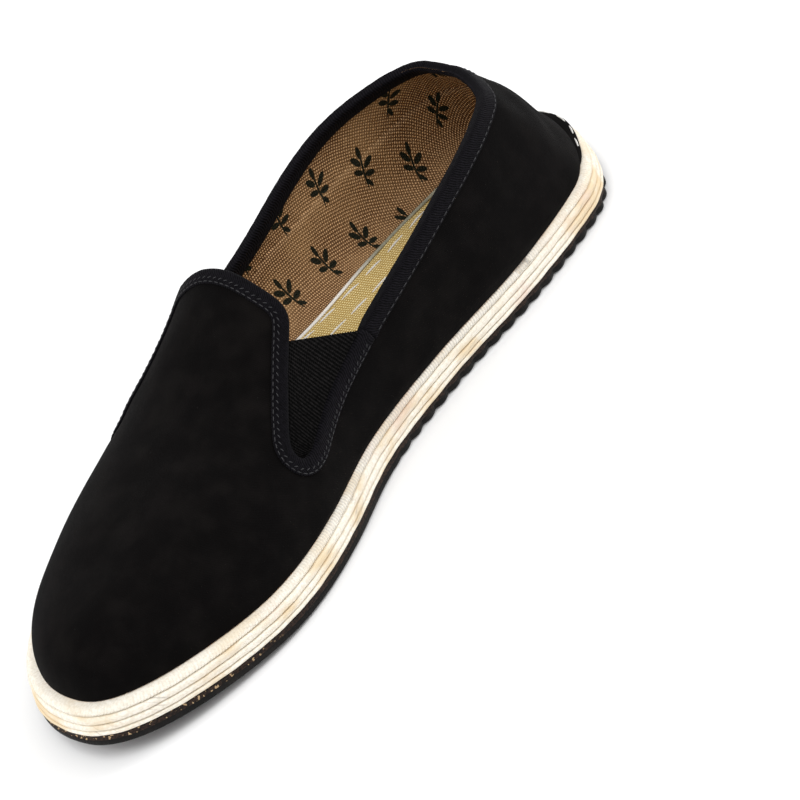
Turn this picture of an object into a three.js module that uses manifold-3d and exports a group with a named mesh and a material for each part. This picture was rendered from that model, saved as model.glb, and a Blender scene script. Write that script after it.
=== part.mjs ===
// A black slip-on cloth shoe for the right foot, on a layered white sole with a rubber tread.
// Millimetres. The toe points along +X, +Y is the inner side of the foot, and +Z is up.
// The origin is in the middle of the footprint, on the floor.
import * as THREE from 'three';
import { mergeVertices } from 'three/addons/utils/BufferGeometryUtils.js';
import Module from 'manifold-3d';

const wasm = await Module();
wasm.setup();

// Driving sizes of the sole
const length = 275;
const ballWidth = 94;
const toeLean = 11;
const toeSpring = 6;
const outsoleThickness = 3.9;
const layerGap = 0.3;
const featherInset = 5.5;

// Driving sizes of the upper
const instepHeight = 57;
const collarHeight = 46;
const wall = 1.6;
const pieceGap = 0.3;

// Bindings, gores, insole and rand
const bindingWidth = 4.6;
const bindingThickness = 0.7;
const goreThickness = 1.1;
const goreSink = 0.3;
const insoleThickness = 2.4;
const insoleClearance = 0.6;
const randWidth = 1.8;
const randHeight = 1.2;
const randLength = 26;

// Rubber edge
const scallopPitch = 7;
const scallopDepth = 1.1;
const treadEdgeHeight = 2.6;
const edgeChamfer = 0.7;
const scallopEnd = 0.56;
const scallopFade = 0.06;
const stripSetBack = 0.4;
const stripStep = 0.1;

// Points round a ring, per side, and rows up a rib
const soleSteps = 40;
const formSteps = 40;
const formRows = 10;
const cornerSteps = 5;
const collarSteps = 14;
const outlineSamples = 400;
const weldDistance = 1e-5;

// White layers from the rubber up: thickness, how far the edge stands out, and its top slope
const layerRows = [
  { name: 'midsole_layer_1', thickness: 1.2, proud: 0.0, slope: 0.3 },
  { name: 'midsole_layer_2', thickness: 1.8, proud: -0.4, slope: 0.4 },
  { name: 'midsole_layer_3', thickness: 2.2, proud: -0.9, slope: 0.7 },
  { name: 'midsole_layer_4', thickness: 1.9, proud: -1.6, slope: 1.5 },
];

// Half widths of the sole along its length, as shares of the ball width
const outlineRows = [
  { at: 0.0, left: 0.33, right: 0.33 },
  { at: 0.1, left: 0.41, right: 0.32 },
  { at: 0.25, left: 0.425, right: 0.37 },
  { at: 0.42, left: 0.38, right: 0.42 },
  { at: 0.55, left: 0.385, right: 0.475 },
  { at: 0.66, left: 0.455, right: 0.515 },
  { at: 0.78, left: 0.485, right: 0.51 },
  { at: 0.9, left: 0.445, right: 0.525 },
  { at: 1.0, left: 0.4, right: 0.545 },
];

// Ends of the sole: where each begins to round off, and how square it is
const heelEnd = 0.13;
const toeStart = 0.67;
const toeSquareness = 2.15;
const leanStart = 0.6;
const springStart = 0.68;

// Ridge of the last: where each rib ends, its height as a share of the instep, how square it is, and how much
// of the feather inset the ledge of the welt keeps on the inner side
const ridgeRows = [
  { at: 0.0, ridge: 0.205, crown: 1.1, inner: 1.28, outer: 1.3, ledge: 1 },
  { at: 0.08, ridge: 0.225, crown: 1.1, inner: 1.5, outer: 1.97, ledge: 0.9 },
  { at: 0.25, ridge: 0.33, crown: 1.1, inner: 2.5, outer: 3.8, ledge: 0.54 },
  { at: 0.42, ridge: 0.44, crown: 1.06, inner: 2.6, outer: 3.3, ledge: 0.5 },
  { at: 0.55, ridge: 0.55, crown: 0.94, inner: 2.1, outer: 1.75, ledge: 0.54 },
  { at: 0.66, ridge: 0.655, crown: 0.65, inner: 2.15, outer: 1.85, ledge: 0.65 },
  { at: 0.78, ridge: 0.765, crown: 0.535, inner: 2.1, outer: 1.9, ledge: 0.8 },
  { at: 0.9, ridge: 0.845, crown: 0.43, inner: 2.1, outer: 2.0, ledge: 0.94 },
  { at: 1.0, ridge: 0.88, crown: 0.4, inner: 2.1, outer: 2.1, ledge: 1 },
];

// Top line of the quarter, as shares of the length and of the collar height
const collarRows = [
  { at: 0.0, rise: 0.9 },
  { at: 0.1, rise: 0.91 },
  { at: 0.2, rise: 0.93 },
  { at: 0.3, rise: 0.84 },
  { at: 0.4, rise: 0.69 },
  { at: 0.49, rise: 0.57 },
];

// Corners of the V notch and of the throat: place as a share of the length, rise and rounding of the instep
const notchRows = [
  { at: 0.485, rise: 0.455, round: 0.08 },
  { at: 0.635, rise: 0.28, round: 0.048 },
  { at: 0.657, rise: 0.295, round: 0.042 },
  { at: 0.658, rise: 0.39, round: 0.042 },
  { at: 0.533, rise: 0.775, round: 0.068 },
  { at: 0.533, rise: 0.93, round: 0.068 },
  { at: 0.5, rise: 1.2, round: 0 },
];

// Value of one column between the rows of a table, as a smooth curve through them
function column(rows, key, at) {
  const last = rows.length - 1;
  if (at <= rows[0].at) return rows[0][key];
  if (at >= rows[last].at) return rows[last][key];
  let i = 0;
  while (rows[i + 1].at < at) i += 1;
  const slope = (a, b) => (rows[b][key] - rows[a][key]) / (rows[b].at - rows[a].at);
  const tangent = (k) => (slope(Math.max(k - 1, 0), k || 1) + slope(Math.min(k, last - 1), Math.min(k + 1, last))) / 2;
  const span = rows[i + 1].at - rows[i].at;
  const t = (at - rows[i].at) / span;
  const start = (2 * t ** 3 - 3 * t ** 2 + 1) * rows[i][key] + (t ** 3 - 2 * t ** 2 + t) * span * tangent(i);
  const end = (3 * t ** 2 - 2 * t ** 3) * rows[i + 1][key] + (t ** 3 - t ** 2) * span * tangent(i + 1);
  return start + end;
}

// One side of the sole's outline, seen from above
function outlinePoint(at, side) {
  const half = column(outlineRows, side > 0 ? 'left' : 'right', at) * ballWidth;
  const heelRound = Math.sqrt(1 - Math.max(0, 1 - at / heelEnd) ** 2);
  const toward = Math.max(0, (at - toeStart) / (1 - toeStart));
  const toeRound = Math.max(0, 1 - toward ** toeSquareness) ** (1 / toeSquareness);
  const lean = toeLean * Math.max(0, (at - leanStart) / (1 - leanStart)) ** 2;
  return new THREE.Vector2((at - 0.5) * length, lean + side * half * heelRound * toeRound);
}

// Height of the sole's underside at a place along it
function springAt(x) {
  const t = Math.max(0, x / length + 0.5 - springStart) / (1 - springStart);
  return toeSpring * Math.min(t, 1) ** 2;
}

// Points of one side at even distances, from the heel to the toe
function sidePoints(side, steps) {
  const dense = [];
  for (let i = 0; i <= outlineSamples; i += 1) {
    const at = (1 - Math.cos((Math.PI * i) / outlineSamples)) / 2;
    const point = outlinePoint(at, side);
    const run = i === 0 ? 0 : dense[i - 1].run + point.distanceTo(dense[i - 1].point);
    dense.push({ at, point, run });
  }
  const total = dense[outlineSamples].run;
  const places = [];
  let k = 0;
  for (let i = 0; i <= steps; i += 1) {
    const run = (total * i) / steps;
    while (k < outlineSamples - 1 && dense[k + 1].run < run) k += 1;
    const share = (run - dense[k].run) / (dense[k + 1].run - dense[k].run);
    const at = THREE.MathUtils.lerp(dense[k].at, dense[k + 1].at, share);
    const point = dense[k].point.clone().lerp(dense[k + 1].point, share);
    places.push({ at, x: point.x, y: point.y });
  }
  return places;
}

// The outline as a closed ring: left side from heel to toe, then the right side back
function outlineRing(steps) {
  const left = sidePoints(1, steps);
  const right = sidePoints(-1, steps).slice(1, -1).reverse();
  const ring = [...left, ...right];
  const widest = Math.max(...ring.map((p) => p.y));
  const narrowest = Math.min(...ring.map((p) => p.y));
  return ring.map((p, i) => {
    const ahead = ring[(i + 1) % ring.length];
    const behind = ring[(i + ring.length - 1) % ring.length];
    const normal = new THREE.Vector2(behind.y - ahead.y, ahead.x - behind.x).normalize();
    return { at: p.at, x: p.x, y: p.y - (widest + narrowest) / 2, nx: normal.x, ny: normal.y };
  });
}

// Faces between rings of equal length, lowest first, with both ends closed across the ring
function closedRings(rings) {
  const count = rings[0].length;
  const positions = rings.flat(2);
  const index = [];
  for (let j = 0; j < rings.length - 1; j += 1) {
    for (let i = 0; i < count; i += 1) {
      const a = j * count + i;
      const b = j * count + ((i + 1) % count);
      index.push(a, a + count, b, b, a + count, b + count);
    }
  }
  const half = count / 2;
  const top = (rings.length - 1) * count;
  for (let i = 0; i < half; i += 1) {
    const across = (count - i) % count;
    const next = i + 1;
    const nextAcross = count - next;
    if (i > 0) index.push(i, next, across, top + i, top + across, top + next);
    if (i < half - 1) index.push(next, nextAcross, across, top + next, top + across, top + nextAcross);
  }
  const geometry = new THREE.BufferGeometry();
  geometry.setAttribute('position', new THREE.Float32BufferAttribute(positions, 3));
  geometry.setIndex(index);
  return geometry;
}

// A sole slab: rows of height and outward offset, bent up at the toe
function slab(ring, rows) {
  const rings = rows.map((row) => ring.map((p, i) => {
    const out = typeof row.out === 'function' ? row.out(p, i) : row.out;
    return [p.x + p.nx * out, p.y + p.ny * out, springAt(p.x) + row.z];
  }));
  return closedRings(rings);
}

// Solids from geometry and back
function solid(geometry) {
  const plain = geometry.clone();
  plain.deleteAttribute('normal');
  plain.deleteAttribute('uv');
  const merged = mergeVertices(plain, weldDistance);
  const mesh = new wasm.Mesh({
    numProp: 3,
    vertProperties: new Float32Array(merged.attributes.position.array),
    triVerts: new Uint32Array(merged.index.array),
  });
  return new wasm.Manifold(mesh);
}

function geometryOf(manifold) {
  const mesh = manifold.getMesh();
  const geometry = new THREE.BufferGeometry();
  geometry.setAttribute('position', new THREE.Float32BufferAttribute(mesh.vertProperties, 3));
  geometry.setIndex(new THREE.Uint32BufferAttribute(mesh.triVerts, 1));
  return geometry;
}

// Heights where the pieces meet
let stack = outsoleThickness;
const layers = layerRows.map((row) => {
  const base = stack + layerGap;
  stack = base + row.thickness;
  return { ...row, base };
});
const soleTop = stack;
const featherHeight = soleTop + pieceGap;

// Surface of the last: ribs from the feather line up to the ridge, as rings one above the other
const formRing = outlineRing(formSteps);
const formPoints = [];
for (let j = 0; j <= formRows; j += 1) {
  const angle = (Math.PI / 2) * (j / formRows);
  formPoints.push(formRing.map((p, i) => {
    const pair = formRing[(formRing.length - i) % formRing.length];
    const power = 2 / column(ridgeRows, i <= formSteps ? 'inner' : 'outer', p.at);
    const across = j === formRows ? 0 : Math.cos(angle) ** power;
    const ridgeX = (column(ridgeRows, 'ridge', p.at) - 0.5) * length;
    const crown = column(ridgeRows, 'crown', p.at) * instepHeight;
    const inset = featherInset * (i <= formSteps ? column(ridgeRows, 'ledge', p.at) : 1);
    const foot = new THREE.Vector3(p.x - p.nx * inset, p.y - p.ny * inset, springAt(p.x));
    const ridge = new THREE.Vector3(ridgeX, (p.y + pair.y) / 2, springAt(ridgeX) + crown);
    const x = THREE.MathUtils.lerp(ridge.x, foot.x, across);
    const y = THREE.MathUtils.lerp(ridge.y, foot.y, across);
    const z = THREE.MathUtils.lerp(foot.z, ridge.z, Math.sin(angle) ** power);
    return [x, y, z + featherHeight];
  }));
}

// Outward normal at each of those points; along the feather line it is level
function surfaceNormals() {
  const count = formRing.length;
  const skin = closedRings(formPoints);
  skin.setIndex([...skin.index.array].slice(0, formRows * count * 6));
  const welded = mergeVertices(skin, weldDistance);
  welded.computeVertexNormals();
  const key = (point) => point.map((value) => Math.round(value * 1e3)).join();
  const known = new Map();
  const place = welded.attributes.position;
  const normal = welded.attributes.normal;
  for (let i = 0; i < place.count; i += 1) {
    const point = [place.getX(i), place.getY(i), place.getZ(i)];
    known.set(key(point), [normal.getX(i), normal.getY(i), normal.getZ(i)]);
  }
  const single = (point) => key(point.map((value) => Math.fround(value)));
  return formPoints.map((row, j) => row.map((point, i) => (
    j === 0 ? [formRing[i].nx, formRing[i].ny, 0] : known.get(single(point)))));
}
const formNormals = surfaceNormals();

// The last as a solid, grown or shrunk by a distance, and reaching lower by a drop
function lastForm(out, drop) {
  const rings = formPoints.map((row, j) => row.map((point, i) => (
    point.map((value, axis) => value + formNormals[j][i][axis] * out))));
  if (drop > 0) rings.unshift(rings[0].map(([x, y, z]) => [x, y, z - drop]));
  return solid(closedRings(rings));
}

// A path with its corners rounded, in the side view
const cornerShare = 0.45;
function roundedPath(corners) {
  const path = [];
  corners.forEach((corner, i) => {
    const round = corner.round || 0;
    if (round === 0) {
      path.push(new THREE.Vector2(corner.x, corner.z));
      return;
    }
    const here = new THREE.Vector2(corner.x, corner.z);
    const before = new THREE.Vector2(corners[i - 1].x, corners[i - 1].z).sub(here);
    const after = new THREE.Vector2(corners[i + 1].x, corners[i + 1].z).sub(here);
    const room = Math.min(before.length(), after.length()) * cornerShare;
    const reach = Math.min(round, room);
    const from = here.clone().add(before.setLength(reach));
    const to = here.clone().add(after.setLength(reach));
    path.push(...new THREE.QuadraticBezierCurve(from, here, to).getPoints(cornerSteps));
  });
  return path;
}

// The same path moved sideways; positive goes into the cloth, negative into the opening
function besidePath(path, distance) {
  return path.map((point, i) => {
    const before = path[Math.max(i - 1, 0)];
    const after = path[Math.min(i + 1, path.length - 1)];
    const first = point.clone().sub(before).normalize();
    const second = after.clone().sub(point).normalize();
    if (i === 0) first.copy(second);
    if (i === path.length - 1) second.copy(first);
    const along = first.clone().add(second).normalize();
    const miter = Math.max(0.5, along.dot(first));
    return new THREE.Vector2(point.x + (along.y * distance) / miter, point.y - (along.x * distance) / miter);
  });
}

// A block with the given side view, through the whole width of the shoe
function throughBlock(outline) {
  const depth = ballWidth * 2;
  const geometry = new THREE.ExtrudeGeometry(new THREE.Shape(outline), { depth, bevelEnabled: false });
  geometry.rotateX(Math.PI / 2);
  geometry.translate(0, depth / 2, 0);
  return solid(geometry);
}

// Edge of the opening in the side view: along the collar, round the notch and up the throat
const above = featherHeight + instepHeight * 2;
const collarPath = [];
const collarStart = -0.05;
const notchBack = notchRows[0].at;
for (let i = 0; i < collarSteps; i += 1) {
  const at = THREE.MathUtils.lerp(collarStart, notchBack, i / collarSteps);
  const z = featherHeight + column(collarRows, 'rise', at) * collarHeight;
  collarPath.push({ x: (at - 0.5) * length, z, round: 0 });
}
const notchCorners = notchRows.map((row) => ({
  x: (row.at - 0.5) * length,
  z: featherHeight + row.rise * instepHeight,
  round: row.round * instepHeight,
}));
const throatEnd = { x: notchCorners.at(-1).x, z: above, round: 0 };
const edgePath = roundedPath([...collarPath, ...notchCorners, throatEnd]);
const collarEnd = collarPath.length;

// Region above the edge, grown into the opening's cloth by a distance
function openingBlock(distance) {
  const edge = besidePath(edgePath, distance);
  const left = edge[0].x - length;
  return throughBlock([...edge, new THREE.Vector2(left, above), new THREE.Vector2(left, edge[0].y)]);
}

// Strip along part of the edge
function edgeStrip(from, to, inside, outside) {
  const part = edgePath.slice(from, to);
  const near = besidePath(part, -outside);
  const far = besidePath(part, inside).reverse();
  return throughBlock([...near, ...far]);
}

// Upper, as a wall between two forms
const soleClearance = soleTop * 2;
const outerForm = lastForm(0, 0);
const innerForm = lastForm(-wall, soleClearance);
const upper = outerForm.subtract(innerForm).subtract(openingBlock(0));

// Tape folded over an edge of the upper
const sleeve = lastForm(pieceGap, 0).subtract(lastForm(-wall - pieceGap, soleClearance));
const sleeveBlock = sleeve.subtract(openingBlock(-pieceGap));
const tapeOut = pieceGap + bindingThickness;
const tapeForm = lastForm(tapeOut, 0).subtract(lastForm(-wall - tapeOut, soleClearance));
function folded(from, to) {
  return tapeForm.intersect(edgeStrip(from, to, bindingWidth, tapeOut)).subtract(sleeveBlock);
}
const collarBinding = folded(0, collarEnd + 1);
const throatBinding = folded(collarEnd + 1, edgePath.length);

// Elastic in the notches, behind the tape
const goreForm = lastForm(-goreSink, 0).subtract(lastForm(-goreSink - goreThickness, soleClearance));
const goreInset = tapeOut + pieceGap;
const rowsBelowThroat = notchRows.findIndex((row, i) => i > 0 && row.at === notchRows[i + 1].at);
const throatCornerStart = collarEnd + rowsBelowThroat * (cornerSteps + 1);
const notchEdge = besidePath(edgePath.slice(collarEnd + 2, throatCornerStart + 1), -goreInset);
const gores = goreForm.intersect(throughBlock(notchEdge)).decompose();

// Insole inside the upper
const insoleRing = outlineRing(formSteps);
const insoleOut = -featherInset - wall - pieceGap;
const insole = slab(insoleRing, [
  { z: featherHeight, out: insoleOut - insoleClearance },
  { z: featherHeight + insoleThickness, out: insoleOut - insoleClearance },
]);

// Rand round the foot of the heel
const randOuter = lastForm(pieceGap + randWidth, 0);
const randBlock = new THREE.BoxGeometry(randLength, ballWidth * 2, randHeight);
randBlock.translate(-length / 2 + randLength / 2, 0, featherHeight + randHeight / 2);
const rand = randOuter.subtract(lastForm(pieceGap, soleClearance)).intersect(solid(randBlock));

// Rubber outsole with its scalloped edge
const leftRun = sidePoints(1, soleSteps).reduce((sum, p, i, all) => (
  i === 0 ? 0 : sum + Math.hypot(p.x - all[i - 1].x, p.y - all[i - 1].y)), 0);
const rubberSteps = 2 * Math.round(leftRun / scallopPitch);
const rubberRing = outlineRing(rubberSteps);
function scallop(p, i) {
  const fade = Math.min(1, Math.max(0, (scallopEnd - p.at) / scallopFade));
  return i % 2 === 1 ? -scallopDepth * fade : 0;
}
const outsole = slab(rubberRing, [
  { z: 0, out: (p, i) => scallop(p, i) - edgeChamfer },
  { z: edgeChamfer, out: scallop },
  { z: treadEdgeHeight, out: scallop },
  { z: treadEdgeHeight + stripStep, out: -stripSetBack },
  { z: outsoleThickness, out: -stripSetBack },
]);

// White layers
const layerRing = outlineRing(soleSteps);
const lowerEdge = 0.3;
function layerGeometry({ base, thickness, proud, slope }) {
  return slab(layerRing, [
    { z: base, out: proud - lowerEdge },
    { z: base + lowerEdge, out: proud },
    { z: base + thickness - slope, out: proud },
    { z: base + thickness, out: proud - slope },
  ]);
}

// Materials and the assembly
function finish(color, roughness) {
  return new THREE.MeshStandardMaterial({ color, roughness, metalness: 0 });
}
const blackCloth = finish(0x121113, 0.95);
const blackTape = finish(0x18161c, 0.85);
const elastic = finish(0x0e0d0f, 0.9);
const whiteCloth = finish(0xece6da, 0.9);
const goldCloth = finish(0xc8a850, 0.8);
const rubber = finish(0x1c1a19, 0.6);

const shoe = new THREE.Group();
function place(name, geometry, material) {
  const mesh = new THREE.Mesh(geometry, material);
  mesh.name = name;
  shoe.add(mesh);
}
place('outsole', outsole, rubber);
layers.forEach((layer) => place(layer.name, layerGeometry(layer), whiteCloth));
place('insole', insole, goldCloth);
place('upper', geometryOf(upper), blackCloth);
gores.forEach((gore) => {
  const box = gore.boundingBox();
  place(box.max[1] > 0 ? 'gore_left' : 'gore_right', geometryOf(gore), elastic);
});
place('throat_binding', geometryOf(throatBinding), blackTape);
place('collar_binding', geometryOf(collarBinding), blackTape);
place('heel_rand', geometryOf(rand), blackTape);

export default shoe;
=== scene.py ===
# %% [markdown]
# # A black cloth slip-on shoe
# The real shoe is a black cotton upper with an elastic gore in each side, sewn to four layers of
# white cloth and a thin rubber tread. This lesson dresses the shoe's plain solids: each solid stays
# as the guide for size and place, and a finer piece is modelled over it.

# %% Tools and the fixed frame
import math

import bmesh
import bpy
import numpy as np
from mathutils import Matrix, Vector
from mathutils.bvhtree import BVHTree
from mathutils.kdtree import KDTree


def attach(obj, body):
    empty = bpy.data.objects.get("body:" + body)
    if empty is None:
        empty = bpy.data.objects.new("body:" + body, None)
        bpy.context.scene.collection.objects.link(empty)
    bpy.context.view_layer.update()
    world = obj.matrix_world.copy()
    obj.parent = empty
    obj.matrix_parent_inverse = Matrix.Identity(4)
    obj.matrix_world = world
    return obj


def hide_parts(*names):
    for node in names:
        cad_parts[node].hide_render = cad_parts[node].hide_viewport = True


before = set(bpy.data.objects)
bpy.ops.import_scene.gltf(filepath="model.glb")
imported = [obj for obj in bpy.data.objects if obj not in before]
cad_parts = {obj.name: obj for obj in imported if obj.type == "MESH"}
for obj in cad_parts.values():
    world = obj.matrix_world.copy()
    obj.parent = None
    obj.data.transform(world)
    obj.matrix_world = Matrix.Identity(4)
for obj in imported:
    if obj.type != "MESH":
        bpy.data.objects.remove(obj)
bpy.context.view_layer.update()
mm = 0.001
print("solids loaded:", len(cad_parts))

# %% [markdown]
# ## Camera
# The camera comes first, because every later choice is judged through it. The photograph looks down
# on the inner side of the toe and is turned in its frame, so the camera is aimed and then rolled.
# A long lens keeps the shoe's length from being stretched.

# %% Camera
camera_place = Vector((0.5159, 0.6539, 0.5840))
camera_target = Vector((-0.0092, 0.0257, 0.0054))
camera_roll = math.radians(26.13)
bpy.ops.object.camera_add(location=camera_place)
camera = bpy.context.object
aim = (camera_target - camera_place).to_track_quat("-Z", "Y").to_matrix()
camera.rotation_euler = (aim @ Matrix.Rotation(-camera_roll, 3, "Z")).to_euler()
camera.data.lens = 150.6
camera.data.sensor_width = 36
camera.data.clip_start = 0.05
bpy.context.scene.camera = camera
print("camera distance:", round((camera_target - camera_place).length, 3))

# %% [markdown]
# ## Studio
# Black cloth needs a broad soft light that skims it, or its shape is lost. A pale floor and a white
# sky fill the shadows, one large lamp comes from above the camera and one from behind the heel.

# %% Floor, sky and lamps
bpy.ops.mesh.primitive_plane_add(size=8, location=(0, 0, 0))
floor = bpy.context.object
floor.name = "floor"
floor_finish = bpy.data.materials.new("floor_paper")
floor_finish.use_nodes = True
paper = floor_finish.node_tree.nodes["Principled BSDF"].inputs
paper["Base Color"].default_value = (0.9, 0.9, 0.9, 1)
paper["Roughness"].default_value = 0.9
floor.data.materials.append(floor_finish)

sky = bpy.data.worlds.new("studio")
sky.use_nodes = True
daylight = sky.node_tree.nodes["Background"].inputs
daylight["Color"].default_value = (1, 1, 1, 1)
daylight["Strength"].default_value = 0.78
bpy.context.scene.world = sky
bpy.context.scene.view_settings.view_transform = "Standard"


def lamp(name, place, target, size, watts):
    bpy.ops.object.light_add(type="AREA", location=place)
    light = bpy.context.object
    light.name = name
    light.data.size = size
    light.data.energy = watts
    light.rotation_euler = (Vector(target) - Vector(place)).to_track_quat("-Z", "Y").to_euler()


lamp("key_lamp", (0.5, 0.2, 1.3), (0, 0, 0), 0.9, 7)
lamp("heel_lamp", (-1.1, 0.5, 0.8), (-0.1, 0, 0), 0.7, 9)
lamp("toe_lamp", (0.9, -0.5, 0.7), (0.1, 0, 0), 0.6, 3)

# %% [markdown]
# ## Sizes of the shoe
# These are the driving sizes of the solids. The tables give the sole's half widths and the last's
# ridge as shares, so the fine cloth surface lies exactly where the plain solid lies.

# %% Driving sizes and tables
length = 275 * mm
ball_width = 94 * mm
toe_lean = 11 * mm
toe_spring = 6 * mm
outsole_thickness = 3.9 * mm
layer_gap = 0.3 * mm
piece_gap = 0.3 * mm
feather_inset = 5.5 * mm
instep_height = 57 * mm
collar_height = 46 * mm
wall = 1.6 * mm
insole_thickness = 2.4 * mm
scallop_pitch = 7 * mm
scallop_depth = 1.1 * mm
heel_end = 0.13
toe_start = 0.67
toe_squareness = 2.15
lean_start = 0.6
spring_start = 0.68


def table(names, rows):
    return dict(zip(names.split(), np.array(rows, float).T))


outline = table("at left right", [
    (0.0, 0.33, 0.33), (0.1, 0.41, 0.32), (0.25, 0.425, 0.37), (0.42, 0.38, 0.42), (0.55, 0.385, 0.475),
    (0.66, 0.455, 0.515), (0.78, 0.485, 0.51), (0.9, 0.445, 0.525), (1.0, 0.4, 0.545),
])
last = table("at ridge crown inner outer ledge", [
    (0.0, 0.205, 1.1, 1.28, 1.3, 1), (0.08, 0.225, 1.1, 1.5, 1.97, 0.9), (0.25, 0.33, 1.1, 2.5, 3.8, 0.54),
    (0.42, 0.44, 1.06, 2.6, 3.3, 0.5), (0.55, 0.55, 0.94, 2.1, 1.75, 0.54),
    (0.66, 0.655, 0.65, 2.15, 1.85, 0.65), (0.78, 0.765, 0.535, 2.1, 1.9, 0.8),
    (0.9, 0.845, 0.43, 2.1, 2.0, 0.94), (1.0, 0.88, 0.4, 2.1, 2.1, 1),
])
collar = table("at rise", [(0.0, 0.9), (0.1, 0.91), (0.2, 0.93), (0.3, 0.84), (0.4, 0.69), (0.49, 0.57)])
notch = table("at rise round", [
    (0.485, 0.455, 0.08), (0.635, 0.28, 0.048), (0.657, 0.295, 0.042), (0.658, 0.39, 0.042),
    (0.533, 0.775, 0.068), (0.533, 0.93, 0.068), (0.5, 1.2, 0),
])
layers = table("thickness proud slope", [
    (1.2, 0.0, 0.3), (1.8, -0.4, 0.4), (2.2, -0.9, 0.7), (1.9, -1.6, 1.5),
])


def column(rows, key, at):
    """A smooth curve through one column of a table."""
    places, values = rows["at"], rows[key]
    at = np.clip(at, places[0], places[-1])
    i = np.clip(np.searchsorted(places, at) - 1, 0, len(places) - 2)
    slope = np.diff(values) / np.diff(places)
    tangent = np.r_[slope[0], (slope[1:] + slope[:-1]) / 2, slope[-1]]
    span = places[i + 1] - places[i]
    t = (at - places[i]) / span
    start = (2 * t**3 - 3 * t**2 + 1) * values[i] + (t**3 - 2 * t**2 + t) * span * tangent[i]
    return start + (3 * t**2 - 2 * t**3) * values[i + 1] + (t**3 - t**2) * span * tangent[i + 1]


def spring_at(x):
    t = np.clip((x / length + 0.5 - spring_start) / (1 - spring_start), 0, 1)
    return toe_spring * t**2


def outline_side(at, side):
    half = column(outline, "left" if side > 0 else "right", at) * ball_width
    heel_round = np.sqrt(1 - np.maximum(0, 1 - at / heel_end) ** 2)
    toward = np.maximum(0, (at - toe_start) / (1 - toe_start))
    toe_round = np.maximum(0, 1 - toward**toe_squareness) ** (1 / toe_squareness)
    lean = toe_lean * np.maximum(0, (at - lean_start) / (1 - lean_start)) ** 2
    return np.stack([(at - 0.5) * length, lean + side * half * heel_round * toe_round], axis=-1)


def places_along(count, trim=0):
    """Shares of the length, closer together near both ends, without the first and last few."""
    return (1 - np.cos(np.pi * (np.arange(count) + trim) / (count - 1 + 2 * trim))) / 2


fine_at = places_along(1601)
both_sides = np.concatenate([outline_side(fine_at, 1), outline_side(fine_at, -1)])
centre_y = (both_sides[:, 1].max() + both_sides[:, 1].min()) / 2


def outline_ring(steps):
    """The outline from above: left side from heel to toe, then the right side back."""
    sides = []
    for side in (1, -1):
        points = outline_side(fine_at, side)
        run = np.r_[0, np.cumsum(np.hypot(*np.diff(points, axis=0).T))]
        even = run[-1] * np.arange(steps + 1) / steps
        sides.append(np.stack([np.interp(even, run, v) for v in (fine_at, points[:, 0], points[:, 1])]))
    at, x, y = np.concatenate([sides[0], sides[1][:, 1:-1][:, ::-1]], axis=1)
    y = y - centre_y
    normal = np.stack([np.roll(y, 1) - np.roll(y, -1), np.roll(x, -1) - np.roll(x, 1)])
    nx, ny = normal / np.linalg.norm(normal, axis=0)
    run = np.r_[0, np.cumsum(np.hypot(np.diff(x), np.diff(y)))]
    return {"at": at, "x": x, "y": y, "nx": nx, "ny": ny, "run": run}


def one_side(ring, side):
    """The points of a ring on its left or right side, in order from heel to toe."""
    count = len(ring["x"])
    return np.arange(count // 2 + 1) if side > 0 else np.r_[0, count - 1 : count // 2 - 1 : -1]


def by_side(ring, left, right):
    """One value for the left side of a ring, the inner side of the foot, another for the right."""
    return np.where(np.arange(len(ring["x"])) <= len(ring["x"]) // 2, left, right)


def run_along(line):
    """How far along a line of points each of them lies."""
    return np.r_[0, np.cumsum(np.linalg.norm(np.diff(line, axis=0), axis=1))]


def at_run(line, run, spots):
    """The places on a line at given distances along it."""
    return np.stack([np.interp(spots, run, values) for values in line.T], axis=-1)


layer_base = []
stack = outsole_thickness
for thickness in layers["thickness"] * mm:
    layer_base.append(stack + layer_gap)
    stack += layer_gap + thickness
feather_height = stack + piece_gap
print("feather line height, mm:", round(feather_height / mm, 2))

# %% [markdown]
# ## Modelling helpers
# Every soft piece here starts as Blender's grid primitive. Its points are pulled to a table of
# places, its edges are merged where it closes on itself, and it keeps a UV map in real metres, so a
# weave has the same thread size on every piece.

# %% Helpers for meshes
weld_reach = 0.002 * mm


def only(piece):
    if bpy.context.object and bpy.context.object.mode != "OBJECT":
        bpy.ops.object.mode_set(mode="OBJECT")
    bpy.ops.object.select_all(action="DESELECT")
    piece.select_set(True)
    bpy.context.view_layer.objects.active = piece


def edit(piece, *steps):
    """Run edit-mode operators on the whole piece."""
    only(piece)
    bpy.ops.object.mode_set(mode="EDIT")
    bpy.ops.mesh.select_all(action="SELECT")
    for step, settings in steps:
        step(**settings)
    bpy.ops.object.mode_set(mode="OBJECT")


def measured(points):
    """Distances along the rows and columns of a grid, in metres."""
    along = np.linalg.norm(np.diff(points, axis=1), axis=2)
    widest = along[np.argmax(along.sum(axis=1))]
    across = np.linalg.norm(np.diff(points, axis=0), axis=2)
    u = np.broadcast_to(np.r_[0, np.cumsum(widest)], points.shape[:2])
    v = np.concatenate([np.zeros((1, points.shape[1])), np.cumsum(across, axis=0)])
    return np.stack([u, v], axis=-1)


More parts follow.
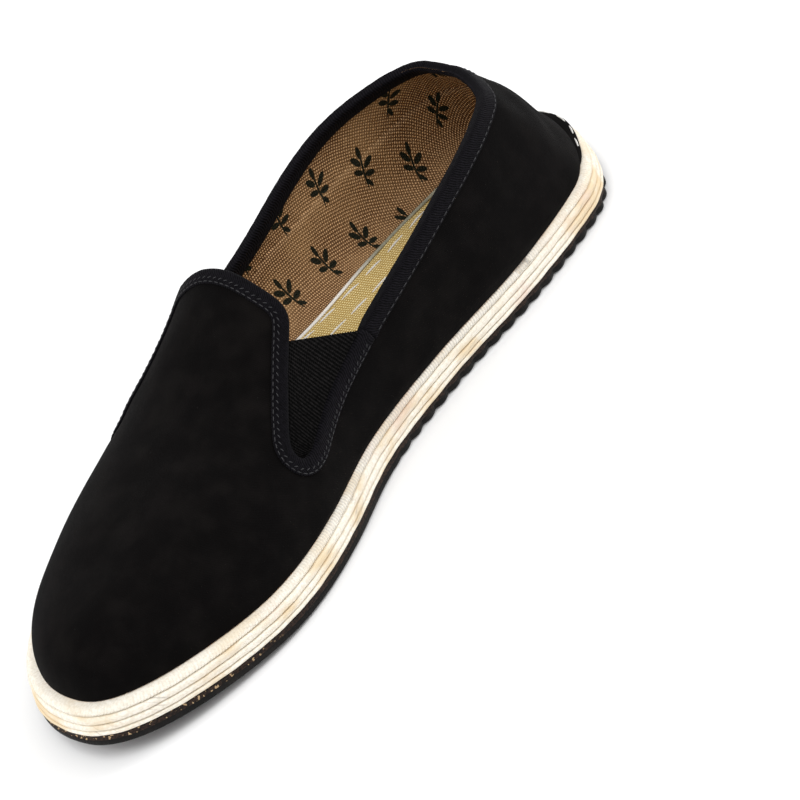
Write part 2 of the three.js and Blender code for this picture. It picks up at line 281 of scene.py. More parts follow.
def grid_sheet(name, points, uv=None):
    rows, columns = points.shape[:2]
    bpy.ops.object.select_all(action="DESELECT")
    bpy.ops.mesh.primitive_grid_add(x_subdivisions=columns - 1, y_subdivisions=rows - 1, size=length)
    piece = bpy.context.object
    piece.name = name
    piece.data.name = name
    piece.data.vertices.foreach_set("co", points.astype(np.float32).ravel())
    corner = np.zeros(len(piece.data.loops), np.int32)
    piece.data.loops.foreach_get("vertex_index", corner)
    uv = measured(points) if uv is None else uv
    uv_layer = piece.data.uv_layers[0]
    uv_layer.name = "run"
    uv_layer.data.foreach_set("uv", uv.reshape(-1, 2)[corner].astype(np.float32).ravel())
    piece.data.update()
    return piece


def closed(piece, reach=weld_reach):
    edit(
        piece,
        (bpy.ops.mesh.remove_doubles, {"threshold": reach}),
        (bpy.ops.mesh.normals_make_consistent, {"inside": False}),
    )
    only(piece)
    bpy.ops.object.shade_smooth()
    return piece


def opposite(row):
    """Each point's partner across the middle line of a ring."""
    return row[(len(row) - np.arange(len(row))) % len(row)]


def ring_solid(name, rows):
    """A closed slab from rings, whose first and last ring fold onto the middle line."""
    first, final = ((row + opposite(row)) / 2 for row in (rows[0], rows[-1]))
    body = np.concatenate([[first], rows, [final]])
    body = np.concatenate([body, body[:, :1]], axis=1)[:, ::-1]
    return closed(grid_sheet(name, body))


def swept_solid(name, stations):
    """A closed piece from stations that each hold one closed section."""
    ends = [np.broadcast_to(s.mean(axis=0), s.shape) for s in (stations[0], stations[-1])]
    body = np.concatenate([[ends[0]], stations, [ends[1]]])
    body = np.concatenate([body, body[:, :1]], axis=1)
    return closed(grid_sheet(name, body))


def ring_rows(ring, rows):
    made = []
    for z, out in rows:
        x, y = ring["x"] + ring["nx"] * out, ring["y"] + ring["ny"] * out
        made.append(np.stack([x, y, spring_at(ring["x"]) + z + 0 * x], axis=-1))
    return np.array(made)


def surface_tree(piece):
    places = [vertex.co.copy() for vertex in piece.data.vertices]
    return BVHTree.FromPolygons(places, [list(polygon.vertices) for polygon in piece.data.polygons])


def dress(piece, slot, *finishes):
    for finish in finishes[len(piece.data.materials):]:
        piece.data.materials.append(finish)
    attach(piece, "root")
    print(piece.name, "has", len(piece.data.polygons), "faces")
    return piece


def waves(run, pitches, seed):
    """A gentle uneven line: a few sines of unlike length, from -1 to 1."""
    turns = np.random.default_rng(seed).uniform(0, 2 * np.pi, len(pitches))
    return sum(np.sin(2 * np.pi * run / p + t) for p, t in zip(pitches, turns)) / len(pitches)


# %% [markdown]
# ## Shader helpers
# A finish is written as sums of what varies over the surface. The small class below lets a socket
# be added and multiplied like a number, and each operator adds one Math node behind the scenes.

# %% Helpers for finishes


class Value:
    def __init__(self, finish, socket):
        self.finish, self.socket = finish, socket

    def math(self, operation, *others):
        sockets = dict(enumerate([self, *others]))
        made = self.finish.node("ShaderNodeMath", {"operation": operation}, sockets)
        return Value(self.finish, made.outputs[0])

    def __add__(self, other):
        return self.math("ADD", other)

    def __sub__(self, other):
        return self.math("SUBTRACT", other)

    def __rsub__(self, other):
        return (self * -1) + other

    def __mul__(self, other):
        return self.math("MULTIPLY", other)

    def __truediv__(self, other):
        return self.math("DIVIDE", other)

    __radd__, __rmul__ = __add__, __mul__

    def wave(self, pitch):
        """0 to 1 and back, once each pitch."""
        return (self * (2 * math.pi / pitch)).math("SINE") * 0.5 + 0.5

    def step(self, low, high):
        """0 below low, 1 above high, smooth between; low may be above high."""
        return ((self - low) / (high - low)).smooth()

    def smooth(self):
        t = self.math("MAXIMUM", 0).math("MINIMUM", 1)
        return t * t * (3 - 2 * t)


class Finish:
    def __init__(self, name):
        self.material = bpy.data.materials.new(name)
        self.material.use_nodes = True
        self.tree = self.material.node_tree
        self.tree.nodes.clear()

    def node(self, kind, settings=None, sockets=None):
        made = self.tree.nodes.new(kind)
        for key, value in (settings or {}).items():
            setattr(made, key, value)
        for key, value in (sockets or {}).items():
            value = value.socket if isinstance(value, Value) else value
            if isinstance(value, bpy.types.NodeSocket):
                self.tree.links.new(value, made.inputs[key])
            else:
                made.inputs[key].default_value = value
        return made

    def split(self, vector):
        made = self.node("ShaderNodeSeparateXYZ", None, {0: vector})
        return [Value(self, made.outputs[i]) for i in range(3)]

    def millimetres(self, vector):
        sockets = {0: vector, "Scale": 1 / mm}
        return self.node("ShaderNodeVectorMath", {"operation": "SCALE"}, sockets).outputs[0]

    def place(self):
        """Object coordinates in millimetres."""
        return self.millimetres(self.node("ShaderNodeTexCoord").outputs["Object"])

    def run(self):
        """The piece's own UV map in millimetres."""
        return self.millimetres(self.node("ShaderNodeUVMap", {"uv_map": "run"}).outputs[0])

    def attribute(self, name):
        """A value from 0 to 1 that is written on the mesh."""
        return Value(self, self.node("ShaderNodeAttribute", {"attribute_name": name}).outputs["Fac"])

    def noise(self, vector, grain, detail=3, stretch=(1, 1, 1)):
        """Noise whose patches are about one grain across, in millimetres."""
        scale = tuple(s / grain for s in stretch)
        held = self.node("ShaderNodeVectorMath", {"operation": "MULTIPLY"}, {0: vector, 1: scale})
        sockets = {"Vector": held.outputs[0], "Scale": 1, "Detail": detail}
        return Value(self, self.node("ShaderNodeTexNoise", None, sockets).outputs["Fac"])

    def mix(self, factor, first, second):
        first = (*first, 1) if isinstance(first, tuple) else first
        second = (*second, 1) if isinstance(second, tuple) else second
        made = self.node("ShaderNodeMix", {"data_type": "RGBA"}, {0: factor, 6: first, 7: second})
        return made.outputs[2]

    def close(self, color, roughness, height=None, deep=0.1, **constants):
        """The shader itself: height is 0 to 1 and deep is its depth in millimetres."""
        sockets = {"Base Color": color, "Roughness": roughness}
        if height is not None:
            raised = {"Height": height, "Distance": deep * mm, "Strength": 1}
            sockets["Normal"] = self.node("ShaderNodeBump", None, raised).outputs[0]
        shader = self.node("ShaderNodeBsdfPrincipled", None, sockets)
        for key, value in constants.items():
            shader.inputs[key.replace("_", " ")].default_value = value
        self.node("ShaderNodeOutputMaterial", None, {"Surface": shader.outputs[0]})
        return self.material


# %% [markdown]
# ## Finishes
# Black cotton reads as cloth only through its nap: a matt ground a little lighter where it is
# brushed, a fine twill in the bump, sheen at the edges and a few specks of lint. Tape has a rib
# across it, elastic a knit of fine cords, and the burlap lining a coarse plain weave of two browns.

# %% Black cotton of the upper


def cotton_finish():
    f = Finish("black_cotton")
    place = f.place()
    u, v, _ = f.split(f.run())
    twill = (u + v).wave(0.62)
    cross = (u - v).wave(0.9)
    nap = f.noise(place, 9, 5)
    brushed = f.noise(place, 0.8, 3, (1, 1.6, 1))
    lint = f.noise(place, 1.1, 1).step(0.78, 0.84)
    ground = f.mix(nap.step(0.35, 0.75), (0.0026, 0.0022, 0.0022), (0.0052, 0.0044, 0.0042))
    color = f.mix(lint * 0.25, ground, (0.03, 0.027, 0.026))
    height = twill * 0.45 + cross * 0.15 + brushed * 0.5
    return f.close(color, brushed * 0.12 + 0.84, height, 0.09,
                   Sheen_Weight=0.012, Sheen_Roughness=0.5, Specular_IOR_Level=0.03)


black_cotton = cotton_finish()

# %% Black tape, elastic and threads


def tape_finish():
    f = Finish("black_tape")
    place = f.place()
    u, v, _ = f.split(f.run())
    rib = (v + u * 0.3).wave(0.9)
    fuzz = f.noise(place, 0.9, 3)
    thread = (rib * 0.7 + fuzz * 1.4 - 0.55).smooth()
    color = f.mix(thread, (0.0006, 0.0005, 0.0009), (0.0072, 0.0062, 0.0086))
    return f.close(color, fuzz * 0.15 + 0.68, rib * 0.8 + fuzz * 0.5, 0.2,
                   Sheen_Weight=0.012, Sheen_Roughness=0.4, Specular_IOR_Level=0.05)


def elastic_finish():
    f = Finish("black_elastic")
    place = f.place()
    u, v, _ = f.split(f.run())
    stitch = (v + u * 0.5).wave(1.15)
    fuzz = f.noise(place, 0.8, 2)
    dots = (stitch * 0.8 + fuzz * 1.6 - 0.95).smooth()
    color = f.mix(dots, (0.0009, 0.0008, 0.0008), (0.016, 0.0145, 0.0145))
    return f.close(color, fuzz * 0.2 + 0.7, stitch * 0.7 + fuzz * 0.4, 0.16,
                   Sheen_Weight=0.01, Sheen_Roughness=0.4, Specular_IOR_Level=0.05)


def thread_finish(name, color, rough=0.7):
    f = Finish(name)
    place = f.place()
    fuzz = f.noise(place, 0.5, 2)
    dark = tuple(c * 0.7 for c in color)
    return f.close(f.mix(fuzz, dark, color), fuzz * 0.2 + rough - 0.1, fuzz, 0.08)


black_tape = tape_finish()
black_elastic = elastic_finish()
black_thread = thread_finish("black_thread", (0.009, 0.0085, 0.011), 0.6)
white_thread = thread_finish("white_thread", (0.85, 0.83, 0.78))
red_thread = thread_finish("red_thread", (0.3, 0.035, 0.02), 0.6)

# %% [markdown]
# The lining is printed. The print here is a plain leaf sprig of this lesson's own, one ink in a
# half-drop repeat: each sprig is six leaves, which are ellipses, on a leaning stem.

# %% Burlap lining with leaf sprigs


def leaf(p, q, centre, angle, long, wide):
    """1 inside an ellipse turned by an angle, in the sprig's own millimetres."""
    c, s = math.cos(math.radians(angle)), math.sin(math.radians(angle))
    a, b = p - centre[0], q - centre[1]
    along, across = (a * c + b * s) / long, (b * c - a * s) / wide
    return (along * along + across * across).step(1.15, 0.85)


sprig_leaves = [
    ((-2.7, 2.6), 140, 2.6, 1.15), ((3.1, 3.0), 30, 2.6, 1.15), ((1.2, 5.6), 72, 2.2, 1.05),
    ((-3.2, -0.9), 172, 2.4, 1.0), ((2.4, -0.4), 8, 2.3, 1.0), ((-2.3, -3.9), 215, 1.9, 0.85),
]


def lining_finish():
    f = Finish("burlap_lining")
    place = f.place()
    u, v, _ = f.split(f.run())
    wobble = f.noise(place, 6, 2) * 0.7
    warp, weft = (u + wobble).wave(1.15), (v + wobble).wave(1.0)
    over = ((u + wobble).wave(2.3) - 0.5) * ((v + wobble).wave(2.0) - 0.5) * 2 + 0.5
    thread = warp * weft
    slub = f.noise(place, 1.6, 3)
    tone = f.noise(place, 28, 2)
    ground = f.mix((thread * 1.3 + slub * 0.5 - 0.3).smooth(), (0.11, 0.05, 0.02), (0.8, 0.5, 0.26))
    warm = f.mix(tone.step(0.35, 0.7) * 0.3, ground, (0.6, 0.37, 0.17))
    repeat_u, repeat_v = 24.0, 21.0
    lane = (v / repeat_v).math("FLOOR")
    shifted = u / repeat_u + (lane * 0.5).math("FRACT")
    p = (shifted.math("FRACT") - 0.5) * repeat_u
    q = ((v / repeat_v).math("FRACT") - 0.5) * repeat_v
    sprig = leaf(p, q, (-0.2, 0), 78, 6.2, 0.5)
    for centre, angle, long, wide in sprig_leaves:
        sprig = sprig.math("MAXIMUM", leaf(p, q, centre, angle, long, wide))
    printed = sprig * (thread * 0.4 + slub * 0.9).step(0.05, 0.35) * 0.97
    color = f.mix(printed, warm, (0.004, 0.009, 0.006))
    return f.close(color, 0.9, thread * 0.7 + over * 0.35 + slub * 0.2, 0.45, Specular_IOR_Level=0.1)


burlap_lining = lining_finish()

# %% Gold insole cloth


def insole_finish():
    f = Finish("gold_cloth")
    place = f.place()
    x, y, _ = f.split(place)
    wobble = f.noise(place, 7, 2) * 0.6
    thread = (x + wobble).wave(1.0) * (y + wobble).wave(0.9)
    slub = f.noise(place, 1.0, 3)
    tone = f.noise(place, 30, 3)
    ground = f.mix((thread * 1.3 + slub * 0.5 - 0.25).smooth(), (0.42, 0.27, 0.07), (1.0, 0.84, 0.42))
    color = f.mix(tone.step(0.4, 0.75) * 0.25, ground, (0.55, 0.42, 0.18))
    return f.close(color, slub * 0.2 + 0.6, thread * 0.8 + slub * 0.3, 0.3, Specular_IOR_Level=0.25)


gold_cloth = insole_finish()

# %% White cloth layers


def white_finish(name, soiled, shade_grooves=False):
    f = Finish(name)
    place, run = f.place(), f.run()
    u, v, _ = f.split(run)
    weave = u.wave(0.7) * 0.5 + v.wave(0.55) * 0.5
    slub = f.noise(place, 0.9, 3)
    stain = f.noise(place, 16, 4, (1, 1, 2.4))
    pink = f.noise(place, 23, 3, (1, 1, 1.5))
    streak = f.noise(run, 5, 4, (0.5, 6, 1))
    ground = f.mix(slub.step(0.3, 0.7), (0.8, 0.735, 0.62), (0.92, 0.87, 0.775))
    yellow = f.mix(stain.step(0.44, 0.66) * soiled, ground, (0.76, 0.62, 0.42))
    blush = f.mix(pink.step(0.55, 0.75) * soiled * 0.6, yellow, (0.72, 0.55, 0.47))
    color = f.mix(streak.step(0.58, 0.74) * soiled * 0.55, blush, (0.36, 0.33, 0.29))
    # painted shade: the grooves between the welt's ribs are darkened grey, more strongly in the middle of the shoe
    if shade_grooves:
        x, _, _ = f.split(place)
        middle = x.step(-82, -66) * x.step(80, 40)
        color = f.mix(f.attribute("painted_groove_shade") * (middle * 0.5 + 0.1), color, (0.36, 0.35, 0.36))
    height = weave * 0.5 + slub * 0.25
    return f.close(color, 0.9, height, 0.06, Specular_IOR_Level=0.2)


layer_cloth = white_finish("white_cloth", 1.0)
welt_cloth = white_finish("white_welt_cloth", 0.5, shade_grooves=True)

# %% Rubber of the tread


def rubber_finish(name, dark, pale):
    f = Finish(name)
    place = f.place()
    u, _, _ = f.split(f.run())
    fine = f.noise(place, 0.5, 4)
    scuff = f.noise(place, 11, 5, (1, 2, 1))
    dust = scuff.step(0.45, 0.8)
    ground = f.mix(dust * 0.8, dark, pale)
    height = u.wave(1.15) * 0.35 + fine * 0.6
    return f.close(ground, 0.66 - dust * 0.1 + fine * 0.15, height, 0.12, Specular_IOR_Level=0.2)


def strip_finish():
    f = Finish("brown_strip")
    place = f.place()
    fine = f.noise(place, 0.7, 4)
    x, _, _ = f.split(place)
    # painted highlights: pale glints are speckled on the strip near the toe and the heel
    ends = x.step(78, 100).math("MAXIMUM", x.step(-122, -130))
    painted_glint = f.noise(place, 1.1, 1).step(0.62, 0.66) * ends * 0.8
    brown = f.mix(fine.step(0.4, 0.6), (0.008, 0.0048, 0.0036), (0.034, 0.018, 0.012))
    brown_with_painted_glints = f.mix(painted_glint, brown, (0.62, 0.43, 0.24))
    return f.close(brown_with_painted_glints, 0.6, fine, 0.15, Specular_IOR_Level=0.2)


edge_rubber = rubber_finish("edge_rubber", (0.004, 0.0035, 0.0032), (0.013, 0.0105, 0.009))
# the sole's rubber is the edge rubber made lighter: partly its own dust, partly painted light on the side that
# faces the floor
sole_rubber_dust_and_painted_light = rubber_finish("sole_rubber_dust_and_painted_light", (0.013, 0.0105, 0.0095), (0.04, 0.03, 0.025))
brown_strip = strip_finish()

# %% [markdown]
# ## Rubber outsole
# The outsole is one moulded sheet. Seen from below it has a smooth rim, a sunk channel for the red
# lockstitch and a herringbone field. Its edge is scalloped from the heel to behind the ball.
# The rim is a ring of rows that follow the outline, and the field is a separate plate set into it.

# %% Outsole rim
rim_ring = outline_ring(520)
scallop_end, scallop_fading = 0.56, 0.06
scallop_fade = np.clip((scallop_end - rim_ring["at"]) / scallop_fading, 0, 1)
scallop_shape = 1 - np.abs(np.sin(np.pi * rim_ring["run"] / scallop_pitch))
scallop = -scallop_depth * scallop_fade * scallop_shape
channel_middle = -6.4 * mm
rim_profile = [
    (1.0, -8.6, 0), (0.25, -8.5, 0), (0.1, -8.2, 0), (0.1, -7.7, 0), (0.8, -7.3, 0), (1.0, -6.4, 0),
    (0.8, -5.6, 0), (0.1, -5.2, 0), (0.0, -4.9, 0), (0.0, -3.0, 0), (0.0, -1.1, 0.7), (0.12, -0.75, 1),
    (0.4, -0.3, 1), (0.8, -0.03, 1), (1.5, 0, 1), (2.2, 0, 1), (2.5, -0.1, 0.9), (2.62, -0.38, 0.3),
    (2.8, -0.42, 0), (3.5, -0.42, 0), (3.8, -0.5, 0), (3.9, -0.75, 0), (3.9, -4, 0),
]
rim_rows = ring_rows(rim_ring, [(z * mm, out * mm + scallop * s) for z, out, s in rim_profile])
outsole = dress(ring_solid("outsole_rim", rim_rows), "black_rubber", edge_rubber, sole_rubber_dust_and_painted_light, brown_strip)
centres, facings = np.zeros((2, len(outsole.data.polygons), 3))
outsole.data.polygons.foreach_get("center", centres.ravel())
outsole.data.polygons.foreach_get("normal", facings.ravel())
above_floor = centres[:, 2] - spring_at(centres[:, 0])
# faces that point down get the lighter rubber, which is partly dust and partly painted light
faces_floor = facings[:, 2] < -0.75
in_strip = (above_floor > 2.5 * mm) & (above_floor < outsole_thickness)
kinds = np.where(faces_floor, 1, np.where(in_strip, 2, 0))
outsole.data.polygons.foreach_set("material_index", kinds.astype(np.int32))
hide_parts("outsole")

# %% [markdown]
# The herringbone is low relief: ridges 3.7 mm apart that run across the sole in a zigzag. It is
# real geometry here, because the sole is looked at from close below.

# %% Tread plate
plate_inset = 8.3 * mm
zigzag_period = 20 * mm
zigzag_reach = 5 * mm
ridge_pitch = 3.7 * mm
relief_height = 0.36 * mm
plate_at = places_along(401, 4)
plate_across = np.linspace(-1, 1, 121)


def inner_line(inset, at, side):
    """The outline moved inwards, at the same places along the shoe."""
    ring = outline_ring(400)
    half = one_side(ring, side)
    x = ring["x"][half] - ring["nx"][half] * inset
    y = ring["y"][half] - ring["ny"][half] * inset
    low, high = x.min(), x.max()
    place = low + (high - low) * at
    return place, np.interp(place, x, y)


def plate_points(inset, at, across):
    x, left = inner_line(inset, at, 1)
    _, right = inner_line(inset, at, -1)
    y = (left + right)[:, None] / 2 + (left - right)[:, None] / 2 * across
    return np.broadcast_to(x[:, None], y.shape), y


def backed(face, height):
    """A face with a plain back behind it: its two edge columns and its middle one at one height."""
    final = face.shape[1] - 1
    back = face[:, [final, final // 2, 0]] * 1
    back[..., 2] = spring_at(back[..., 0]) + height
    return np.concatenate([face, back], axis=1)


plate_x, plate_y = plate_points(plate_inset, plate_at, plate_across)
zigzag = np.abs(((plate_y / zigzag_period) % 1) * 2 - 1) * zigzag_reach * 2
tread_wave = np.cos(2 * np.pi * (plate_x + zigzag) / ridge_pitch)
edge_fade = np.clip((1 - np.abs(plate_across)) / 0.03, 0, 1)
relief = relief_height * np.tanh(1.6 * tread_wave) / np.tanh(1.6) * edge_fade
plate_z = spring_at(plate_x) + 0.46 * mm - relief
face = np.stack([plate_x, plate_y, plate_z], axis=-1)
dress(swept_solid("tread_plate", backed(face, 1.3 * mm)), "black_rubber", sole_rubber_dust_and_painted_light)

# %% [markdown]
# ## Stitches
# One stitch is modelled from a sphere: stretched, and bent so that both ends dive into the cloth.
# A row of them is the same stitch placed again and again along a line, joined into one mesh.

# %% One stitch and rows of it
bpy.ops.object.select_all(action="DESELECT")
bpy.ops.mesh.primitive_uv_sphere_add(segments=8, ring_count=6, radius=0.5)
pattern_stitch = bpy.context.object
pattern_stitch.rotation_euler = (0, math.pi / 2, 0)
bpy.ops.object.transform_apply(rotation=True)
stitch_points = np.array([v.co for v in pattern_stitch.data.vertices])
stitch_faces = [list(p.vertices) for p in pattern_stitch.data.polygons]
bpy.data.objects.remove(pattern_stitch)


def stitch_row(name, line, normals, pitch, long, thick, finish, slot, dive=0.5, skew=0.0, seed=1):
    """Stitches of one row; a skew turns each across the row, as an overcast stitch lies."""
    line, normals = np.asarray(line, float), np.asarray(normals, float)
    run = run_along(line)
    count = max(1, int(run[-1] / pitch))
    rng = np.random.default_rng(seed)
    meshes, faces = [], []
    for spot in (np.arange(count) + 0.5) * run[-1] / count:
        place, up = at_run(line, run, spot), at_run(normals, run, spot)
        ahead = at_run(line, run, min(spot + pitch / 2, run[-1]))
        forward = ahead - at_run(line, run, max(spot - pitch / 2, 0))
        forward /= np.linalg.norm(forward)
        up -= forward * (up @ forward)
        up /= np.linalg.norm(up)
        side = np.cross(up, forward)
        turn = skew + rng.normal(0, 0.05)
        kept, turned = math.cos(turn), math.sin(turn)
        forward, side = forward * kept + side * turned, side * kept - forward * turned
        size = long * rng.uniform(0.93, 1.05)
        local = stitch_points * (size, thick, thick)
        local[:, 2] -= dive * thick * (2 * stitch_points[:, 0]) ** 2
        faces += [[len(meshes) * len(local) + k for k in f] for f in stitch_faces]
        meshes.append(place + local[:, :1] * forward + local[:, 1:2] * side + local[:, 2:3] * up)
    mesh = bpy.data.meshes.new(name)
    mesh.from_pydata(np.concatenate(meshes).tolist(), [], faces)
    piece = bpy.data.objects.new(name, mesh)
    bpy.context.scene.collection.objects.link(piece)
    closed(piece, 0)
    return dress(piece, slot, finish)


channel_ring = outline_ring(300)
channel_line = ring_rows(channel_ring, [(0.55 * mm, channel_middle)])[0]
channel_line = np.concatenate([channel_line, channel_line[:1]])
down = np.broadcast_to((0.0, 0.0, -1.0), channel_line.shape)
tread_stitch = (6.6 * mm, 5.6 * mm, 0.95 * mm)
stitch_row("tread_stitches", channel_line, down, *tread_stitch, red_thread, "black_rubber", 0.35)

# %% [markdown]
# ## White cloth layers
# Four layers of cloth show as rounded edges with dark lines between them. They are hand made, so
# each edge wanders a little in and out. The top layer, the welt, slopes up to the upper. It has fine
# slanted ribs, whose grooves get painted shade in the finish, and one small nick near the heel.

# %% Layers of the midsole
welt_steps = 2000
rib_pitch = 1.05 * mm
rib_height = 0.2 * mm
rib_skew = 0.55
nick_at = 0.262
nick_half = 3.2 * mm
nick_depth = 0.8 * mm


def write_painted_groove_shade(piece, ring, base):
    """How deep each point lies between two ribs, from 0 to 1, which the finish darkens as painted shade."""
    tree = KDTree(len(ring["x"]))
    for k, (x, y) in enumerate(zip(ring["x"], ring["y"])):
        tree.insert((x, y, 0), k)
    tree.balance()
    painted_groove_shade = piece.data.attributes.new("painted_groove_shade", "FLOAT", "POINT")
    for vertex, value in zip(piece.data.vertices, painted_groove_shade.data):
        x, y, z = vertex.co
        along = ring["run"][tree.find((x, y, 0))[1]] + rib_skew * (z - spring_at(x) - base)
        value.value = 1 - abs(math.sin(math.pi * along / rib_pitch))


for i, base in enumerate(layer_base):
    is_welt = i == len(layer_base) - 1
    layer_ring = outline_ring(welt_steps if is_welt else 560)
    layer_run = layer_ring["run"]
    thick, proud, slope = (layers[k][i] * mm for k in ("thickness", "proud", "slope"))
    wander = waves(layer_run, (61 * mm, 37 * mm, 17 * mm, 9 * mm), 10 + i) * 0.2 * mm
    lift = waves(layer_run, (47 * mm, 23 * mm, 11 * mm), 20 + i) * 0.07 * mm
    top = base + thick
    rows = [
        (base, proud - 3 * mm), (base, proud - 0.5 * mm), (base + 0.06 * mm, proud - 0.2 * mm + wander),
        (base + 0.25 * mm, proud + wander), (base + thick * 0.3, proud + 0.06 * mm + wander),
        (base + (thick - slope * 0.8) * 0.75, proud + 0.03 * mm + wander),
        (top - slope * 0.62 + lift, proud - slope * 0.12 + wander),
        (top - slope * 0.25 + lift, proud - slope * 0.5 + wander * 0.6),
        (top, proud - slope - 0.1 * mm), (top, proud - slope - 1.5 * mm), (top, proud - slope - 4 * mm),
    ]
    if is_welt:
        drop = [abs(z - base) for z, _ in rows[2:9]]
        for k, fall in enumerate(drop, start=2):
            rib = np.abs(np.sin(np.pi * (layer_run + rib_skew * fall) / rib_pitch))
            rows[k] = (rows[k][0] + rib_height * (rib - 1) * (k > 5), rows[k][1] + rib_height * (rib - 1))
        left_side = one_side(layer_ring, 1)
        nick_run = np.interp(nick_at, layer_ring["at"][left_side], layer_run[left_side])
        nick = nick_depth * np.clip((nick_half - np.abs(layer_run - nick_run)) / (0.5 * mm), 0, 1)
        for k in range(6, 9):
            rows[k] = (rows[k][0] - nick, rows[k][1] - nick * 0.5)
    name = "welt" if is_welt else f"cloth_layer_{i + 1}"
    piece = ring_solid(name, ring_rows(layer_ring, rows))
    dress(piece, "white_cloth", welt_cloth if is_welt else layer_cloth)
    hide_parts(f"midsole_layer_{i + 1}")
# painted shade: each welt point gets its depth between ribs, which the finish darkens
write_painted_groove_shade(piece, layer_ring, layer_base[-1])

# %% [markdown]
# Beside a nick near the heel the welt's cloth is frayed: short threads lie across its top edge.

# %% Frayed threads of the welt
fray_start, fray_end = 0.276, 0.325
frayed = [i for i in one_side(layer_ring, 1) if fray_start < layer_ring["at"][i] < fray_end]
fray_ring = {key: values[frayed] for key, values in layer_ring.items()}
fray_line = ring_rows(fray_ring, [(stack - 0.55 * mm, -2.5 * mm)])[0]
fray_up = np.stack([fray_ring["nx"], fray_ring["ny"], np.ones(len(frayed))], axis=-1)
fray_thread = (1.0 * mm, 2.1 * mm, 0.26 * mm)
stitch_row("frayed_threads", fray_line, fray_up, *fray_thread, white_thread, "white_cloth", 0.2, 1.25, 71)

# %% [markdown]
# ## Upper
# The upper is drawn over the last as ribs that rise from the feather line to a ridge. On the real
# shoe the cloth isn't as smooth as the last: it has soft folds at the heel, across the ball and by
# the gores. Each fold is one row of a table: where it is, which way it runs, and how deep it is.

# %% The last's surface with its folds
folds = table("x y z dx dy dz reach width depth", [
    (-112, 14, 36, 0.2, 0.8, -0.7, 16, 4.5, 0.9), (-118, -8, 30, 0.1, 1, 0.2, 13, 4, 0.6),
    (-96, 26, 38, 0.8, 0.1, -0.5, 18, 5, 0.5), (-60, 34, 27, 1, 0, 0.15, 26, 6, 0.5),
    (-20, 34, 24, 1, 0.1, -0.2, 20, 5, 0.45), (48, 30, 30, 0.4, -0.8, 0.5, 16, 5, 0.5),
    (58, 8, 47, 0.2, 1, 0, 22, 6, 0.4), (76, -4, 42, 0.1, 1, 0.1, 24, 7, 0.35),
    (42, -32, 32, 0.5, 0.8, 0.4, 17, 5, 0.5), (-70, -34, 30, 1, 0, -0.1, 24, 6, 0.5),
    (26, 24, 56, 0.7, -0.2, -0.6, 14, 4, 0.35), (-72, -33, 50, 1, 0, 0.1, 30, 15, -3.0),
    (-121, 13, 27, 0.5, 0.85, 0, 20, 9, 1.2),
])
last_steps, last_rows = 150, 56


def last_surface(steps, rows):
    ring = outline_ring(steps)
    square = by_side(ring, column(last, "inner", ring["at"]), column(last, "outer", ring["at"]))
    ridge_x = (column(last, "ridge", ring["at"]) - 0.5) * length
    crown = column(last, "crown", ring["at"]) * instep_height
    inset = feather_inset * by_side(ring, column(last, "ledge", ring["at"]), 1)
    foot = ring_rows(ring, [(0, -inset)])[0]
    ridge = np.stack([ridge_x, (ring["y"] + opposite(ring["y"])) / 2, spring_at(ridge_x) + crown], axis=-1)
    angle = (np.pi / 2 * np.arange(rows + 1) / rows)[:, None]
    across = np.cos(angle) ** (2 / square)
    across[-1] = 0
    rise = np.sin(angle) ** (2 / square)
    share = np.stack([across, across, 1 - rise], axis=-1)
    return ridge * (1 - share) + foot * share + (0, 0, feather_height)


def surface_normals(points):
    around = np.roll(points, -1, axis=1) - np.roll(points, 1, axis=1)
    upward = np.gradient(points, axis=0)
    normal = np.cross(upward, around)
    size = np.linalg.norm(normal, axis=2, keepdims=True)
    return np.where(size > 1e-12, normal / np.maximum(size, 1e-12), (0, 0, 1))


def folded(points, normals, rows):
    moved = np.zeros(points.shape[:2])
    for k in range(len(rows["x"])):
        centre = np.array([rows[c][k] for c in "xyz"]) * mm
        heading = np.array([rows[c][k] for c in ("dx", "dy", "dz")])
        heading /= np.linalg.norm(heading)
        offset = points - centre
        along = offset @ heading
        across = np.linalg.norm(offset - along[..., None] * heading, axis=2)
        signed = across * np.sign(offset[..., 2] - along * heading[2] + 1e-9)
        q = signed / (rows["width"][k] * mm)
        fade = np.exp(-((along / (rows["reach"][k] * mm)) ** 2))
        trough = np.exp(-(q**2)) - 0.4 * np.exp(-((q - 1.7) ** 2)) - 0.4 * np.exp(-((q + 1.7) ** 2))
        moved -= rows["depth"][k] * mm * trough * fade
    return points + normals * moved[..., None]


plain_last = last_surface(last_steps, last_rows)
last_normals = surface_normals(plain_last)
slant = plain_last[..., 0] * 1.3 + plain_last[..., 1] * 0.7 + plain_last[..., 2]
ripple = waves(slant, (43 * mm, 71 * mm), 5) * 0.16 * mm
cloth = folded(plain_last, last_normals, folds) + last_normals * ripple[..., None]
cloth[0] = plain_last[0]
easing_passes = 30
easing = np.clip((np.arange(1, last_rows + 1) - last_rows * 0.7) / (last_rows * 0.3), 0, 1)
for _ in range(easing_passes):
    beyond = np.concatenate([cloth, opposite(cloth[-2])[None]])
    eased = (beyond[:-2] + beyond[2:]) / 4 + cloth[1:] / 2
    cloth[1:] += (eased - cloth[1:]) * easing[:, None, None]
cloth[-1] = (cloth[-1] + opposite(cloth[-1])) / 2
ridge_point = cloth[-1:, :, :2]
spoke = cloth[0, :, :2] - cloth[-1, :, :2]
spoke /= np.linalg.norm(spoke, axis=1, keepdims=True)
from_ridge = np.cumsum(np.linalg.norm(np.diff(cloth[::-1], axis=0), axis=2), axis=0)
from_ridge = np.concatenate([np.zeros((1, cloth.shape[1])), from_ridge])[::-1]
cloth_uv = ridge_point + spoke[None] * from_ridge[..., None]
wrapped = np.concatenate([cloth, cloth[:, :1]], axis=1)[:, ::-1]
